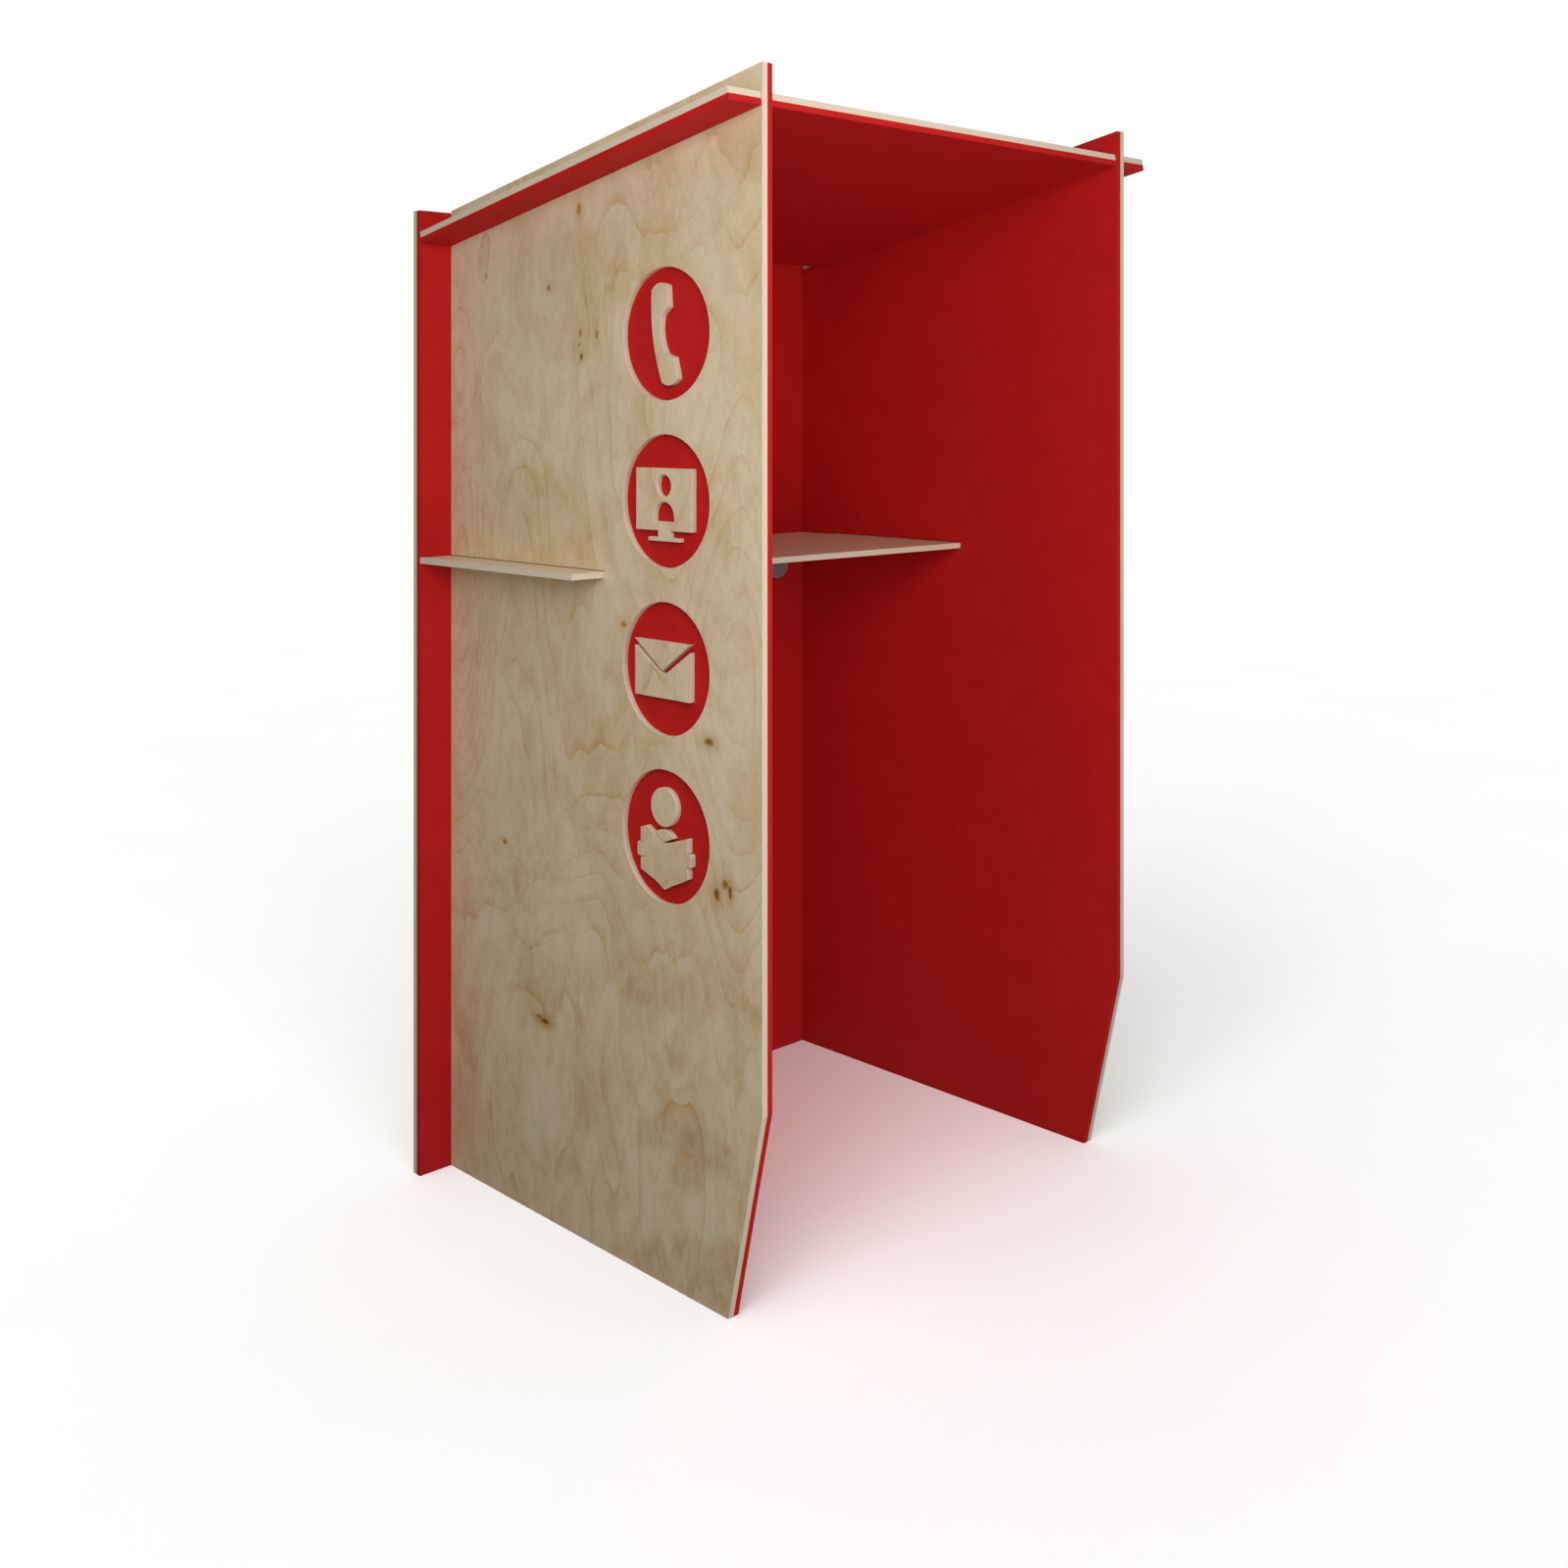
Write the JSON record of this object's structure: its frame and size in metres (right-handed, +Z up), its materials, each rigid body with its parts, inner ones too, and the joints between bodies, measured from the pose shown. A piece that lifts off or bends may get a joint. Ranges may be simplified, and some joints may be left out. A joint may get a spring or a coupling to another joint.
{
  "type": "telephone booth",
  "caption": "Open-fronted standing telephone booth of slotted plywood and red board, with a through desk, sloping roof, pictogram windows and a cable grommet.",
  "frame": {"origin": "on the floor, in the middle of the footprint's box", "axes": "+Z up; -Y out of the open front; +X to the right seen from the front, so the pictogram side is at -X"},
  "size_m": [1.2, 0.96, 2.15],
  "materials": {
    "birch": "oiled rotary-cut birch plywood",
    "red_board": "satin through-dyed fibreboard",
    "grommet_plastic": "moulded grey plastic",
    "screw_steel": "zinc-plated"
  },
  "bodies": {
    "booth": {"left_side_panel": "birch", "left_side_liner": "red_board", "right_side_panel": "birch", "right_side_liner": "red_board", "back_panel": "birch", "back_liner": "red_board", "roof_panel": "birch", "roof_liner": "red_board", "desk_shelf": "birch", "handset_icon": "birch", "monitor_icon": "birch", "envelope_flap": "birch", "envelope_body": "birch", "reader_head": "birch", "reader_shoulders": "birch", "reader_newspaper": "birch", "reader_hand": "birch", "grommet_sleeve": "grommet_plastic", "left_side_screws": "screw_steel", "right_side_screws": "screw_steel", "roof_screws": "screw_steel", "desk_screws": "screw_steel"},
    "cable_cover": {"grommet_cap": "grommet_plastic"}
  },
  "joints": [
    {"name": "cap_turn", "type": "hinge", "parent": "booth", "child": "cable_cover", "pos_m": [0.414, 0.456, 1.189], "axis": [0, 1, 0], "range_deg": [0, 180]}
  ]
}
